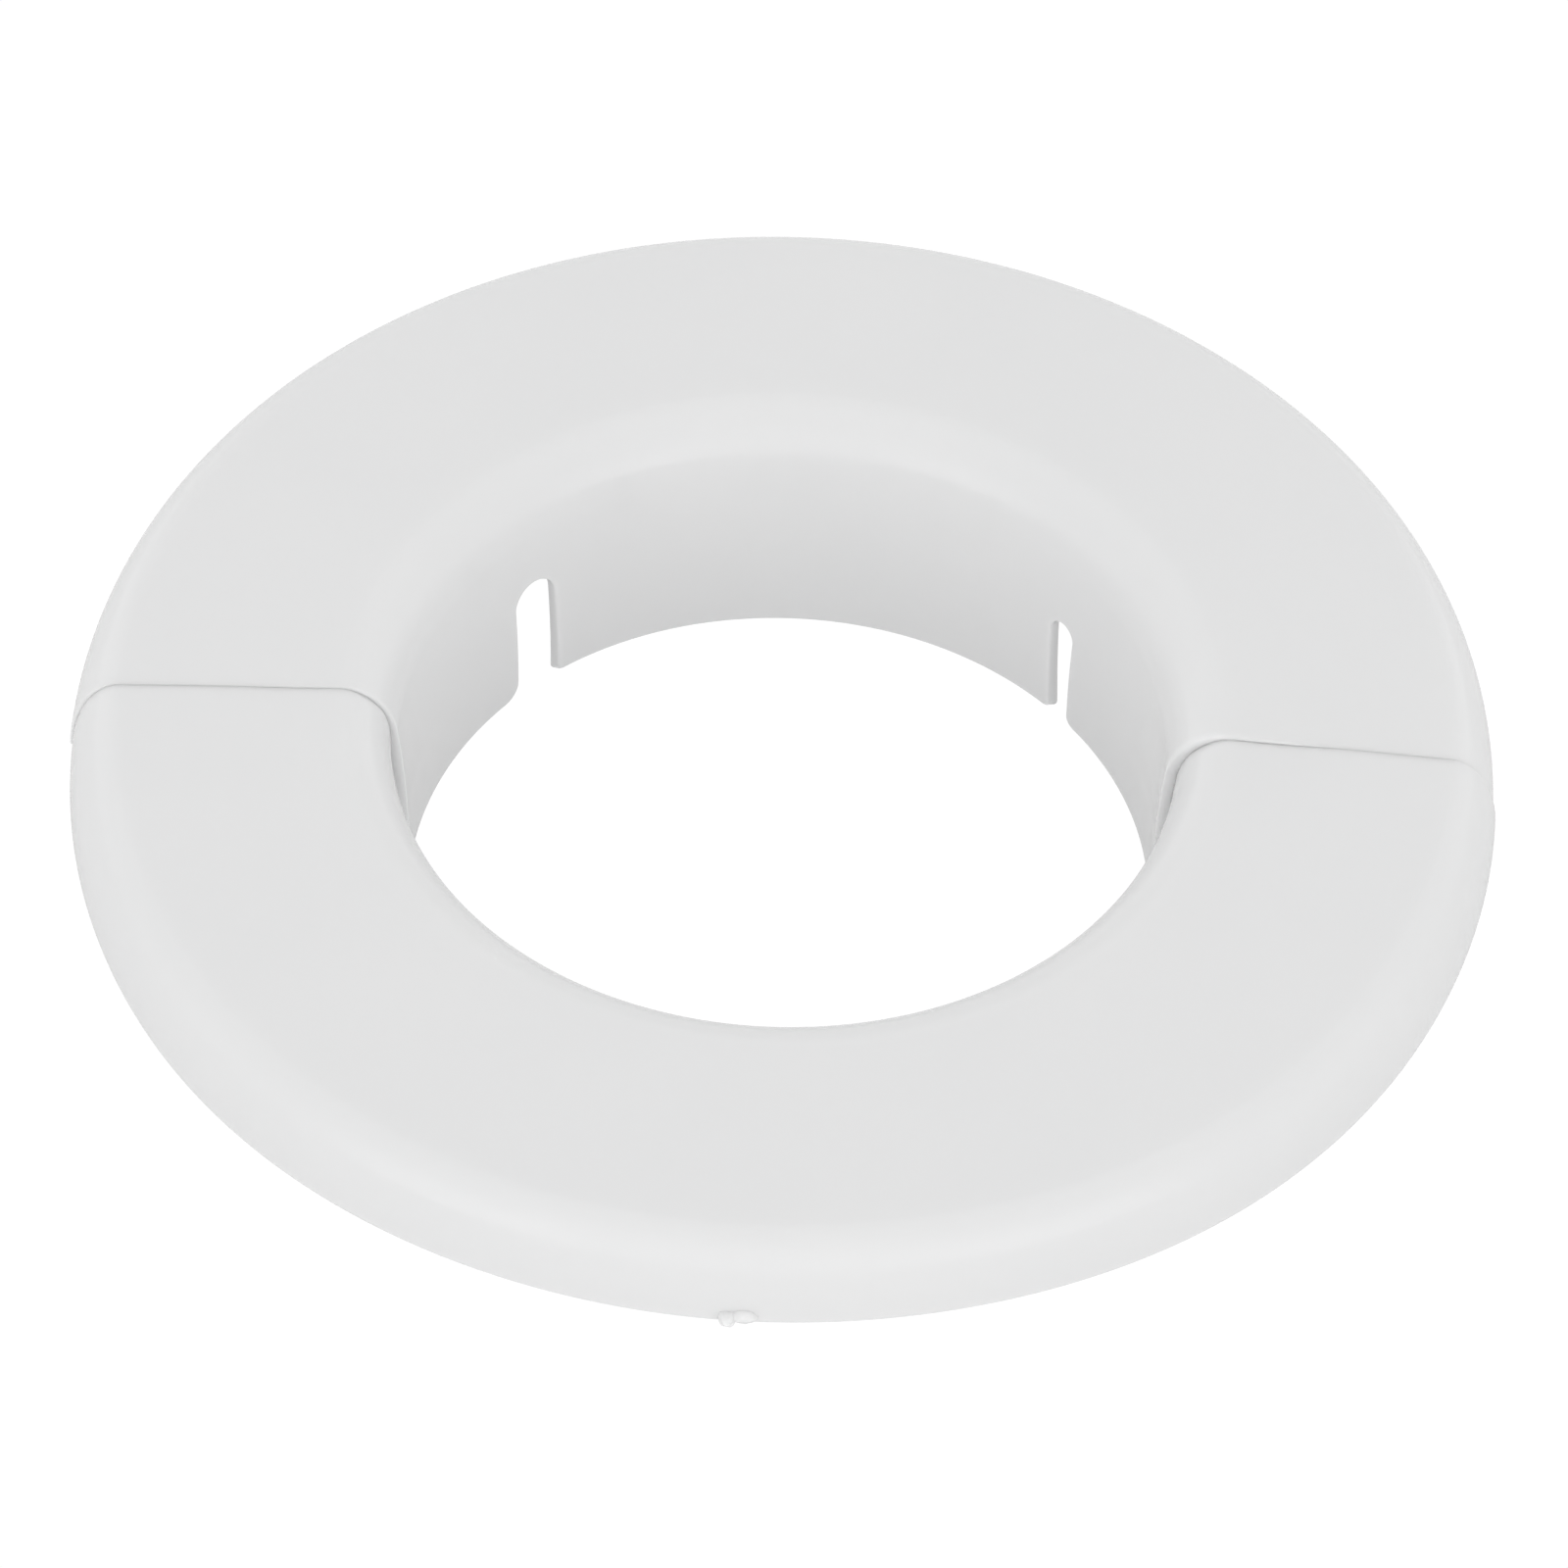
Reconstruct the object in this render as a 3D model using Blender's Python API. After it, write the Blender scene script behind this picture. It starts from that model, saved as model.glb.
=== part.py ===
"""Two-piece snap-together cover flange for a pipe where it enters a wall or a floor.

Two half rings close round a pipe that is already in place. Each half is one
moulding: a slightly conical cover plate, a rounded outer rim whose skirt meets
the wall, a radiused inner lip, and a tapered sleeve that goes down into the hole
and is slotted into three fingers. Its male end carries a snap tongue and two
locating tabs, its female end the pocket that takes its partner's tongue, so two
such halves, half a turn apart, lock together.

Frame: the ring's axis is Z, with the visible face up. z = 0 is the lowest point, the
outer edge of the fingers' ends. The seam lies along X, the back half is at +Y and the
front half at -Y. Both are built as the back half, with the male end at +X, and the
front one is turned. Heights in the constants and outlines are measured from the inner
edge of the fingers' ends, which is END_BEVEL above the outer edge.
"""

import math
from collections import namedtuple

import bmesh
import bpy
from mathutils import Matrix, Vector

MM = 0.001
X_AXIS, Y_AXIS, Z_AXIS = Vector((1, 0, 0)), Vector((0, 1, 0)), Vector((0, 0, 1))

# ---- shell, in millimetres -------------------------------------------------
OUTER_RADIUS = 60.0
CREST_Z = 21.5  # the top of the lip
END_BEVEL = 0.8  # the fingers' ends slope down from their inner edge to the outer one
WALL_PLANE_Z = 12.5  # the skirt's lower edge, which meets the wall

LIP_INNER_RADIUS = 32.3  # narrowest radius of the lip's own curve
LIP_RUN = 4.9  # how far the lip's curve reaches outwards
LIP_DROP = 6.5  # how far it reaches down
LIP_CENTRE = (LIP_INNER_RADIUS + LIP_RUN, CREST_Z - LIP_DROP)  # (radius, z)
CONE_DEGREES = 3.5  # the plate falls this much towards the rim
RIM_RUN = 4.2
RIM_DROP = 7.6
SLEEVE_END_RADIUS = 31.0  # inside radius at the sleeve's lower end
SLEEVE_END_SLOPE = 0.01  # the sleeve is all but straight there, and flares upwards

PLATE_WALL = 1.8
SLEEVE_WALL = 0.9  # where the sleeve runs into the lip
SLEEVE_END_WALL = 1.25
EDGE_BREAK = 0.25

SEAM_GAP = 0.30  # between the two halves' end faces
STATIONS = 40  # segments round each half
VISIBLE_ARC_STEPS = 8  # segments of the lip's and of the rim's curve
HIDDEN_ARC_STEPS = 6
FLARE_STEPS = 5
TANGENT_SEARCH_STEPS = 60

# The halves are free moulded springs, so at the seams they don't meet quite flush.
# Inward shift at the (rim, lip, fingers' ends), for a half's male and female end.
BACK_SPRING = ((0.25, 0.50, -0.17), (-0.12, 0.0, -0.33))
FRONT_SPRING = ((0.13, -0.35, -1.75), (0.0, -0.48, -1.05))
SPRING_DEGREES = 40.0  # the shift fades out this far from the seam
SPRING_LIP_Z, SPRING_END_Z = 19.0, 7.0
SPRING_BLEND_RADIUS = LIP_CENTRE[0] + 5  # from here inwards, rim values blend to lip values
SPRING_BLEND_RUN = 7

# The front half's rim also stands out a little, halfway from its middle to each seam.
# Each pair is for the male and the female side.
BACK_BULGE = (0.0, 0.0)
FRONT_BULGE = (0.39, 0.47)
BULGE_START_RADIUS = 48.0
BULGE_BLEND_RUN = 8

# ---- slots -----------------------------------------------------------------
# Three fingers on each half: two open slots with round tops. For each: degrees from
# the half's male end, height of the top, and two sides, as (place at the top, place
# at the mouth, corner radius of the finger there), places measured along the wall.
SLOTS = (
    (44.3, 10.55, (-1.25, -1.42, 1.8), (1.40, 0.80, 1.35)),
    (135.0, 11.75, (-2.10, -2.20, 0.5), (2.20, 2.30, 2.3)),
)
SLOT_CUT_LOW = -3.0  # the cutter runs past the fingers' ends
SLOT_CUT_RADIUS = 27.0  # where the cutter starts, inside the sleeve
SLOT_CUT_DEPTH = 11.0
SLOT_CORNER_STEPS = 5
SLOT_CROWN_STEPS = 12

# ---- snap tongue and the pocket that takes it; near and far are from the seam ----
TONGUE_MID_X = 46.0
TONGUE_WIDTH = 10.0
TONGUE_LOW, TONGUE_HIGH = 16.4, 17.8
TONGUE_REACH = 9.0  # past the seam
TONGUE_ROOT = 12.0  # behind the seam
TONGUE_ROOT_TOP = 19.75  # inside the plate
BARB_HEIGHT = 0.35
BARB_TIP_Y, BARB_HEEL_Y, BARB_END_Y = -6.6, -5.6, -5.1
WEB_WALL = 1.0
WEB_INSIDE, WEB_OUTSIDE = -4.0, 3.0  # the webs' places from the tongue's middle
WEB_RUN = 3.0
WEB_OVERLAP = 0.5  # into the tongue's root
WEB_TOP = 19.5
SIDE_CLEARANCE = 0.5
POCKET_HALF_WIDTH = TONGUE_WIDTH / 2 + SIDE_CLEARANCE
GUIDE_WALL = 1.3
GUIDE_LOW, GUIDE_TOP = 14.6, 19.7
GUIDE_NEAR, GUIDE_FAR = 0.3, 11.0
GUIDE_FAR_LOW = 16.6  # the lower edge rises to this at the far end
GUIDE_LEVEL_RUN = 1.6  # the lower edge stays level this far past the strap
STRAP_LOW = GUIDE_LOW + 0.15
STRAP_HIGH = 15.8
STRAP_NEAR, STRAP_FAR = 1.2, 4.6
STRAP_BEVEL_RUN, STRAP_BEVEL_DROP = 0.9, 0.5
STRAP_END_INSET = 0.2  # the strap's ends stop inside the guides

# ---- locating tabs at the male end -----------------------------------------
TAB_REACH = 6.0  # past the seam
RIM_TAB_OUTER_X = 57.0
RIM_TAB_WALL = 1.2
RIM_TAB_LOW, RIM_TAB_HIGH = 13.2, 16.0
RIM_TAB_ROOT = 9.0  # behind the seam
RIM_TAB_SHOULDER = 0.55  # where the tab widens into the skirt, behind the seam
RIM_TAB_SHOULDER_X, RIM_TAB_ROOT_X = 58.9, 58.6  # inside the skirt
SLEEVE_TAB_LOW, SLEEVE_TAB_HIGH = 3.0, 11.0
SLEEVE_TAB_GAP = 0.35
SLEEVE_TAB_WALL = 1.3
SLEEVE_TAB_ROOT = 4.5  # behind the seam
ROOT_START_Y, ROOT_LENGTH = 0.6, 3.4  # the block that joins the arm to the sleeve
ROOT_SAMPLE_Y = 2.0  # where the sleeve's place is taken
ROOT_EDGE_INSET = 0.2
ROOT_SIDE_INSET = 0.3

# ---- stiffening ribs under the plate ---------------------------------------
RIB_DEGREES = (33.0, 61.5, 90.0, 118.5, 147.0)  # from the male end
RIB_WALL = 1.0
RIB_FOOT_Z = 12.8  # the lowest corner, in the middle of the sleeve's wall
# The other corners, (radius, z)
RIB_CORNERS = (
    (37.2, 15.4), (58.9, 15.4), (58.0, 17.9), (55.4, 19.4), (38.0, 20.4), (33.7, 18.0),
)

# ---- gate vestige on the rim's lower edge: (x, y, z), (radii) ---------------
GATE_LOBES = (
    ((0.95, 59.9, 13.2), (0.85, 1.35, 0.62)),
    ((-0.35, 59.8, 13.3), (1.25, 0.85, 0.68)),
)
LOBE_SEGMENTS, LOBE_RINGS = 12, 7

SHARP_DEGREES = 30

# The sleeve's side in section: a curve that touches the lip's ellipse at its top
Flare = namedtuple("Flare", "end_radius end_slope bend top touch_angle lip_run lip_drop")


def clear_scene():
    for obj in list(bpy.data.objects):
        bpy.data.objects.remove(obj, do_unlink=True)


def plastic(name, colour, roughness):
    material = bpy.data.materials.new(name)
    material.use_nodes = True
    shader = material.node_tree.nodes["Principled BSDF"]
    shader.inputs["Base Color"].default_value = (*colour, 1.0)
    shader.inputs["Roughness"].default_value = roughness
    shader.inputs["Metallic"].default_value = 0.0
    return material


def clamp(value):
    return min(1.0, max(0.0, value))


# ---- the section of a half, as points (radius, z) --------------------------
# A depth is 0 for the visible side and PLATE_WALL for the hidden one.
def arc(centre, run, drop, start, end, count):
    """Points of an ellipse from one parameter angle to another, ends included."""
    step = (end - start) / count
    angles = [start + i * step for i in range(count + 1)]
    return [(centre[0] + run * math.cos(t), centre[1] + drop * math.sin(t)) for t in angles]


def cone_angle(run, drop):
    """Where an ellipse's tangent falls outwards as the plate does."""
    return math.atan2(1.0, math.tan(math.radians(CONE_DEGREES)) * run / drop)


def rim_centre():
    """The centre that lets the plate run straight from the lip's curve to the rim's."""
    lip_angle = cone_angle(LIP_RUN, LIP_DROP)
    plate_start = LIP_CENTRE[0] + LIP_RUN * math.cos(lip_angle)
    plate_start_z = LIP_CENTRE[1] + LIP_DROP * math.sin(lip_angle)
    rim_angle = cone_angle(RIM_RUN, RIM_DROP)
    centre_radius = OUTER_RADIUS - RIM_RUN
    plate_end = centre_radius + RIM_RUN * math.cos(rim_angle)
    fall = (plate_end - plate_start) * math.tan(math.radians(CONE_DEGREES))
    return centre_radius, plate_start_z - fall - RIM_DROP * math.sin(rim_angle)


def flare(depth):
    """Find by bisection the sleeve's side that touches the lip's ellipse."""
    end_radius = SLEEVE_END_RADIUS + (SLEEVE_END_WALL if depth else 0.0)
    end_slope = 0.0 if depth else SLEEVE_END_SLOPE
    run, drop = LIP_RUN - (SLEEVE_WALL if depth else 0.0), LIP_DROP - depth
    low, high = math.radians(120), math.radians(180)
    for _ in range(TANGENT_SEARCH_STEPS):
        angle = (low + high) / 2
        z = LIP_CENTRE[1] + drop * math.sin(angle)
        slope = -math.tan(angle) * run / drop
        if LIP_CENTRE[0] + run * math.cos(angle) < end_radius + z * (end_slope + slope) / 2:
            low = angle
        else:
            high = angle
    return Flare(end_radius, end_slope, (slope - end_slope) / (2 * z), z, angle, run, drop)


def flare_radius(side, z):
    return side.end_radius + side.end_slope * z + side.bend * z * z


def sleeve_middle(z):
    """Radius of the middle of the sleeve's wall, below the lip's curve."""
    return (flare_radius(flare(0.0), z) + flare_radius(flare(PLATE_WALL), z)) / 2


def skin(depth, count):
    """One side of the section, from the sleeve's lower end to the rim's lower end."""
    side = flare(depth)
    first = EDGE_BREAK - (END_BEVEL if depth else 0.0)
    heights = [first + (side.top - first) * i / FLARE_STEPS for i in range(FLARE_STEPS)]
    points = [(flare_radius(side, z), z) for z in heights]
    run, drop = side.lip_run, side.lip_drop
    points += arc(LIP_CENTRE, run, drop, side.touch_angle, cone_angle(run, drop), count)
    run, drop = RIM_RUN - depth, RIM_DROP - depth
    return points + arc(rim_centre(), run, drop, cone_angle(run, drop), 0.0, count)


def section():
    """The closed outline: up the visible side, over and back along the hidden side."""
    visible = skin(0.0, VISIBLE_ARC_STEPS)
    skirt_end = [
        (OUTER_RADIUS, WALL_PLANE_Z + EDGE_BREAK),
        (OUTER_RADIUS - EDGE_BREAK, WALL_PLANE_Z),
        (OUTER_RADIUS - PLATE_WALL, WALL_PLANE_Z),
    ]
    hidden = skin(PLATE_WALL, HIDDEN_ARC_STEPS)[::-1]
    finger_end = [
        (SLEEVE_END_RADIUS + SLEEVE_END_WALL - EDGE_BREAK, -END_BEVEL),
        (SLEEVE_END_RADIUS + EDGE_BREAK * 0.8, -EDGE_BREAK * 0.2),
    ]
    return visible + skirt_end + hidden + finger_end


# ---- how a half departs from the ideal shape --------------------------------
def degrees_from_seam(x, y):
    return math.degrees(math.atan2(y, abs(x)))


def spring_shift(x, y, z, spring):
    """Shift along X of a point near a seam."""
    rim, lip, finger = spring[0 if x > 0 else 1]
    share = max(0.0, 1.0 - degrees_from_seam(x, y) / SPRING_DEGREES) ** 2
    inboard = clamp((SPRING_BLEND_RADIUS - math.hypot(x, y)) / SPRING_BLEND_RUN)
    below = clamp((SPRING_LIP_Z - z) / (SPRING_LIP_Z - SPRING_END_Z))
    inward = share * (rim + (lip - rim) * inboard + (finger - lip) * inboard * below)
    return -math.copysign(1.0, x) * inward


def bulge_scale(x, y, bulge):
    """Factor by which a point moves out from the axis."""
    radius = math.hypot(x, y)
    outboard = clamp((radius - BULGE_START_RADIUS) / BULGE_BLEND_RUN)
    wave = math.sin(math.radians(2 * degrees_from_seam(x, y))) ** 3
    return 1.0 + bulge[0 if x > 0 else 1] * outboard * wave / radius


# ---- solids ----------------------------------------------------------------
def mesh_object(name, bm, material, collection):
    for face in bm.faces:
        face.smooth = True
    bmesh.ops.recalc_face_normals(bm, faces=bm.faces)
    bmesh.ops.translate(bm, vec=(0.0, 0.0, END_BEVEL * MM), verts=bm.verts)
    mesh = bpy.data.meshes.new(name)
    bm.to_mesh(mesh)
    bm.free()
    mesh.materials.append(material)
    mesh.set_sharp_from_angle(angle=math.radians(SHARP_DEGREES))
    obj = bpy.data.objects.new(name, mesh)
    collection.objects.link(obj)
    return obj


def bridge(bm, first, second):
    """Quads between two closed rows of vertices."""
    for j in range(len(first)):
        k = (j + 1) % len(first)
        bm.faces.new((first[j], first[k], second[k], second[j]))


def half_ring(spring, bulge):
    """The revolved shell, its ends cut flat, parallel to the seam."""
    outline = section()
    bm = bmesh.new()
    rows = []
    for i in range(STATIONS + 1):
        row = []
        for radius, z in outline:
            first = math.asin(SEAM_GAP / 2 / radius)
            turn = first + (math.pi - 2 * first) * i / STATIONS
            x, y = radius * math.cos(turn), radius * math.sin(turn)
            scale = bulge_scale(x, y, bulge)
            new_x = x * scale + spring_shift(x, y, z, spring)
            row.append(bm.verts.new((new_x * MM, y * scale * MM, z * MM)))
        rows.append(row)
    for row, next_row in zip(rows, rows[1:]):
        bridge(bm, row, next_row)
    bm.faces.new(rows[0])
    bm.faces.new(rows[-1][::-1])
    return bm


def prism(outline, origin, along, up, across, length):
    """Outline points (u, v) along `along` and `up`, swept `length` along `across`."""
    bm = bmesh.new()
    ends = []
    for shift in (0.0, length):
        points = [Vector(origin) + u * along + v * up + shift * across for u, v in outline]
        ends.append([bm.verts.new(point * MM) for point in points])
    bm.faces.new(ends[0])
    bm.faces.new(ends[1][::-1])
    bridge(bm, *ends)
    return bm


def side_prism(outline, x, width):
    """A prism of outline points (y, z), from x on towards +X."""
    return prism(outline, (x, 0, 0), Y_AXIS, Z_AXIS, X_AXIS, width)


def radial_axes(degrees):
    """Unit vectors outwards and sideways, at an angle from the male end."""
    turn = math.radians(degrees)
    cos, sin = math.cos(turn), math.sin(turn)
    return Vector((cos, sin, 0)), Vector((-sin, cos, 0))


def slot_side(sign, shoulder, place_top, place_mouth, corner):
    """One leaning side, from below the mouth up to the end of the finger's round corner."""
    mouth = place_mouth + sign * corner
    points = [(mouth, SLOT_CUT_LOW), (mouth, -END_BEVEL)]
    for k in range(1, SLOT_CORNER_STEPS + 1):
        angle = k * math.pi / (2 * SLOT_CORNER_STEPS)
        z = corner - corner * math.cos(angle) - END_BEVEL
        edge = place_mouth + (place_top - place_mouth) * z / shoulder
        points.append((edge + sign * (corner - corner * math.sin(angle)), z))
    return points


def slot_cutter(degrees, top, minus_side, plus_side):
    """Leaning sides, a round top, and a mouth that rounds the fingers' corners."""
    middle = (minus_side[0] + plus_side[0]) / 2
    radius = (plus_side[0] - minus_side[0]) / 2
    shoulder = top - radius
    crown = arc((middle, shoulder), radius, radius, 0.0, math.pi, SLOT_CROWN_STEPS)
    outline = slot_side(1, shoulder, *plus_side) + crown
    outline += slot_side(-1, shoulder, *minus_side)[::-1]
    out, sideways = radial_axes(degrees)
    return prism(outline, out * SLOT_CUT_RADIUS, sideways, Z_AXIS, out, SLOT_CUT_DEPTH)


def rib(degrees):
    """A thin web from the sleeve to the skirt, hanging from the plate."""
    outline = [(sleeve_middle(RIB_FOOT_Z), RIB_FOOT_Z), *RIB_CORNERS]
    out, sideways = radial_axes(degrees)
    return prism(outline, -sideways * RIB_WALL / 2, out, Z_AXIS, sideways, RIB_WALL)


def tongue():
    """A flat spring arm under the plate, past the seam, with a low barb near its end."""
    low, high, end = TONGUE_LOW, TONGUE_HIGH, -TONGUE_REACH
    barb = low - BARB_HEIGHT
    outline = [
        (TONGUE_ROOT, low), (TONGUE_ROOT, TONGUE_ROOT_TOP),
        (1.6, TONGUE_ROOT_TOP), (0.8, high + 0.4), (0.2, high),  # slope down to the arm
        (end + 1.2, high), (end, high - 0.5), (end, low + 0.1),  # bevelled tip
        (BARB_TIP_Y, barb), (BARB_HEEL_Y, barb), (BARB_END_Y, low),
    ]
    return side_prism(outline, TONGUE_MID_X - TONGUE_WIDTH / 2, TONGUE_WIDTH)


def tongue_web(place):
    """A small gusset that stiffens the tongue's root."""
    start = TONGUE_ROOT - WEB_OVERLAP
    outline = [(start, TONGUE_LOW + 0.2), (TONGUE_ROOT + WEB_RUN, WEB_TOP), (start, WEB_TOP)]
    return side_prism(outline, TONGUE_MID_X + place, WEB_WALL)


def guide(side):
    """One side wall of the pocket: side is 1 towards the axis, -1 towards the rim."""
    x = -TONGUE_MID_X + side * (POCKET_HALF_WIDTH + GUIDE_WALL / 2) - GUIDE_WALL / 2
    outline = [
        (GUIDE_NEAR, GUIDE_LOW), (STRAP_FAR + GUIDE_LEVEL_RUN, GUIDE_LOW),
        (GUIDE_FAR, GUIDE_FAR_LOW), (GUIDE_FAR, GUIDE_TOP), (GUIDE_NEAR, GUIDE_TOP),
    ]
    return side_prism(outline, x, GUIDE_WALL)


def strap():
    """The bar across the pocket that the barb passes over."""
    reach = POCKET_HALF_WIDTH + GUIDE_WALL - STRAP_END_INSET
    outline = [
        (STRAP_NEAR, STRAP_LOW), (STRAP_FAR, STRAP_LOW), (STRAP_FAR, STRAP_HIGH),
        (STRAP_NEAR + STRAP_BEVEL_RUN, STRAP_HIGH), (STRAP_NEAR, STRAP_HIGH - STRAP_BEVEL_DROP),
    ]
    return side_prism(outline, -TONGUE_MID_X - reach, 2 * reach)


def rim_tab():
    """A tab just inside the skirt that holds the two rims flush, outlined in plan."""
    outer, inner = RIM_TAB_OUTER_X, RIM_TAB_OUTER_X - RIM_TAB_WALL
    outline = [
        (inner, RIM_TAB_ROOT),
        (inner, -TAB_REACH + 0.8), (inner + 0.3, -TAB_REACH),  # bevelled tip
        (outer - 0.5, -TAB_REACH), (outer, -TAB_REACH + 1.5),
        (outer, RIM_TAB_SHOULDER), (RIM_TAB_SHOULDER_X, RIM_TAB_SHOULDER),
        (RIM_TAB_ROOT_X, RIM_TAB_ROOT),
    ]
    height = RIM_TAB_HIGH - RIM_TAB_LOW
    return prism(outline, (0, 0, RIM_TAB_LOW), X_AXIS, Y_AXIS, Z_AXIS, height)


def sleeve_tab(spring, partner):
    """A tab outside the partner's sleeve that holds the two in line: arm, then root."""
    low, high = SLEEVE_TAB_LOW, SLEEVE_TAB_HIGH
    partner_outsides = []
    middles = []
    for z in (low, high):
        outside = flare_radius(flare(PLATE_WALL), z)
        partner_outsides.append(outside - spring_shift(-outside, 0.0, z, partner))
        middle = sleeve_middle(z)
        middles.append(middle + spring_shift(middle, ROOT_SAMPLE_Y, z, spring))
    arm_in = max(partner_outsides) + SLEEVE_TAB_GAP
    arm_out = arm_in + SLEEVE_TAB_WALL
    arm = prism(
        [(arm_in, low), (arm_out, low), (arm_out, high), (arm_in, high)],
        (0, -TAB_REACH, 0), X_AXIS, Z_AXIS, Y_AXIS, TAB_REACH + SLEEVE_TAB_ROOT,
    )
    low, high = low + ROOT_EDGE_INSET, high - ROOT_EDGE_INSET
    root_out = arm_out - ROOT_SIDE_INSET
    root = prism(
        [(middles[0], low), (root_out, low), (root_out, high), (middles[1], high)],
        (0, ROOT_START_Y, 0), X_AXIS, Z_AXIS, Y_AXIS, ROOT_LENGTH,
    )
    return arm, root


def lobe(centre, radii):
    bm = bmesh.new()
    bmesh.ops.create_uvsphere(bm, u_segments=LOBE_SEGMENTS, v_segments=LOBE_RINGS, radius=1.0)
    scale = Matrix.Diagonal((*radii, 1.0))
    bmesh.ops.transform(bm, matrix=Matrix.Translation(Vector(centre)) @ scale, verts=bm.verts)
    bmesh.ops.scale(bm, vec=(MM, MM, MM), verts=bm.verts)
    return bm


# ---- assembly --------------------------------------------------------------
def joined_features(spring, partner):
    arm, root = sleeve_tab(spring, partner)
    features = [
        ("tongue", tongue()),
        ("tongue_web_in", tongue_web(WEB_INSIDE)),
        ("tongue_web_out", tongue_web(WEB_OUTSIDE)),
        ("guide_in", guide(1)),
        ("guide_out", guide(-1)),
        ("strap", strap()),
        ("rim_tab", rim_tab()),
        ("sleeve_tab_arm", arm),
        ("sleeve_tab_root", root),
    ]
    features += [(f"rib_{i}", rib(degrees)) for i, degrees in enumerate(RIB_DEGREES, 1)]
    features += [(f"gate_{i}", lobe(*shape)) for i, shape in enumerate(GATE_LOBES, 1)]
    return features


def make_half(name, spring, partner, bulge, materials, collections):
    """One half: the shell, joined with its inner features, less its slots."""
    plastic_material, helper_material = materials
    parts, helpers = collections
    half = mesh_object(name, half_ring(spring, bulge), plastic_material, parts)
    slots = [(f"slot_{i}", slot_cutter(*slot)) for i, slot in enumerate(SLOTS, 1)]
    steps = (("UNION", joined_features(spring, partner)), ("DIFFERENCE", slots))
    for operation, features in steps:
        for label, bm in features:
            helper = mesh_object(f"{name}_{label}", bm, helper_material, helpers)
            helper.parent = half
            helper.hide_render = True
            helper.display_type = "WIRE"
            modifier = half.modifiers.new(label, "BOOLEAN")
            modifier.operation = operation
            modifier.solver = "EXACT"
            modifier.object = helper
    return half


def main():
    clear_scene()
    scene = bpy.context.scene
    scene.unit_settings.system = "METRIC"
    scene.unit_settings.scale_length = 1.0
    collections = [bpy.data.collections.new(name) for name in ("flange", "helpers")]
    for collection in collections:
        scene.collection.children.link(collection)
    materials = (
        plastic(name="gloss_white_plastic", colour=(0.80, 0.80, 0.80), roughness=0.22),
        plastic(name="helper", colour=(0.4, 0.4, 0.4), roughness=0.8),
    )
    make_half("back_half", BACK_SPRING, FRONT_SPRING, BACK_BULGE, materials, collections)
    front = make_half(
        "front_half", FRONT_SPRING, BACK_SPRING, FRONT_BULGE, materials, collections
    )
    front.rotation_euler = (0, 0, math.pi)


main()
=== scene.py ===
"""The looks of the split cover flange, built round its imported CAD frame.

Each CAD half is replaced by a finely meshed half of the same size: a smooth shell whose
every edge is rounded, joined with the moulded features on its hidden side.
"""

import math

import bmesh
import bpy
import numpy as np
from mathutils import Matrix, Vector

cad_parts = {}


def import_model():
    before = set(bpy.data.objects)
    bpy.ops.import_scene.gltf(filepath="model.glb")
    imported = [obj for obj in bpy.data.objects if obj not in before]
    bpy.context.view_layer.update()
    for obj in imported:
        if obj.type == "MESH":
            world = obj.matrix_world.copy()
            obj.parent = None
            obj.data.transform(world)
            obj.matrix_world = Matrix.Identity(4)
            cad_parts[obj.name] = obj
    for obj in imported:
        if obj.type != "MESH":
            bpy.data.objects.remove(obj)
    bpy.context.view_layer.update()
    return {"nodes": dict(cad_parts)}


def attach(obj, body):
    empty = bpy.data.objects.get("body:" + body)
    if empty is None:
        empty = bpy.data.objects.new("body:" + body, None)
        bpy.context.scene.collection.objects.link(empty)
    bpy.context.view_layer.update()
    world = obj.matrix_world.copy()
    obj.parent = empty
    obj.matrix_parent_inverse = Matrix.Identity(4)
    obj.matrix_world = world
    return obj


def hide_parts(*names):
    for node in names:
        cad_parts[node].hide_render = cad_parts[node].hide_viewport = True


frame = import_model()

MM = 0.001

# ---- dimensions, in millimetres; heights are from the inner edge of the fingers' ends
OUTER_RADIUS = 60.0
CREST_Z = 21.49
END_BEVEL = 0.8
WALL_PLANE_Z = 12.5
LIP_INNER_RADIUS, LIP_RUN, LIP_DROP = 32.3, 4.9, 6.5
CONE_DEGREES = 3.5
RIM_RUN, RIM_DROP = 4.2, 7.6
SLEEVE_END_RADIUS, SLEEVE_END_SLOPE = 31.0, 0.01
PLATE_WALL, SLEEVE_WALL, SLEEVE_END_WALL = 1.8, 0.9, 1.25
SEAM_GAP = 0.004  # the halves are snapped tight
EDGE = 0.22  # radius of every rounded edge
COLUMNS = 288
SLOTS = (
    (44.3, 10.55, (-1.25, -1.42, 1.0), (1.40, 0.80, 0.75)),
    (135.0, 11.75, (-2.10, -2.20, 0.45), (2.20, 2.30, 1.7)),
)
BACK_SPRING = ((0.25, 0.50, -0.17), (-0.12, 0.0, -0.33))
FRONT_SPRING = ((0.13, -0.35, -1.75), (0.0, -0.48, -1.05))
SPRING_DEGREES = 40.0
SPRING_LIP_Z, SPRING_END_Z = 19.0, 7.0
BACK_BULGE, FRONT_BULGE = (0.0, 0.0), (0.39, 0.47)
LIP_CENTRE = (LIP_INNER_RADIUS + LIP_RUN, CREST_Z - LIP_DROP)


# ---- the section: visible and hidden side along one coordinate s ------------
def cone_parameter(a, b):
    return math.atan2(1.0, math.tan(math.radians(CONE_DEGREES)) * a / b)


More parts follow.
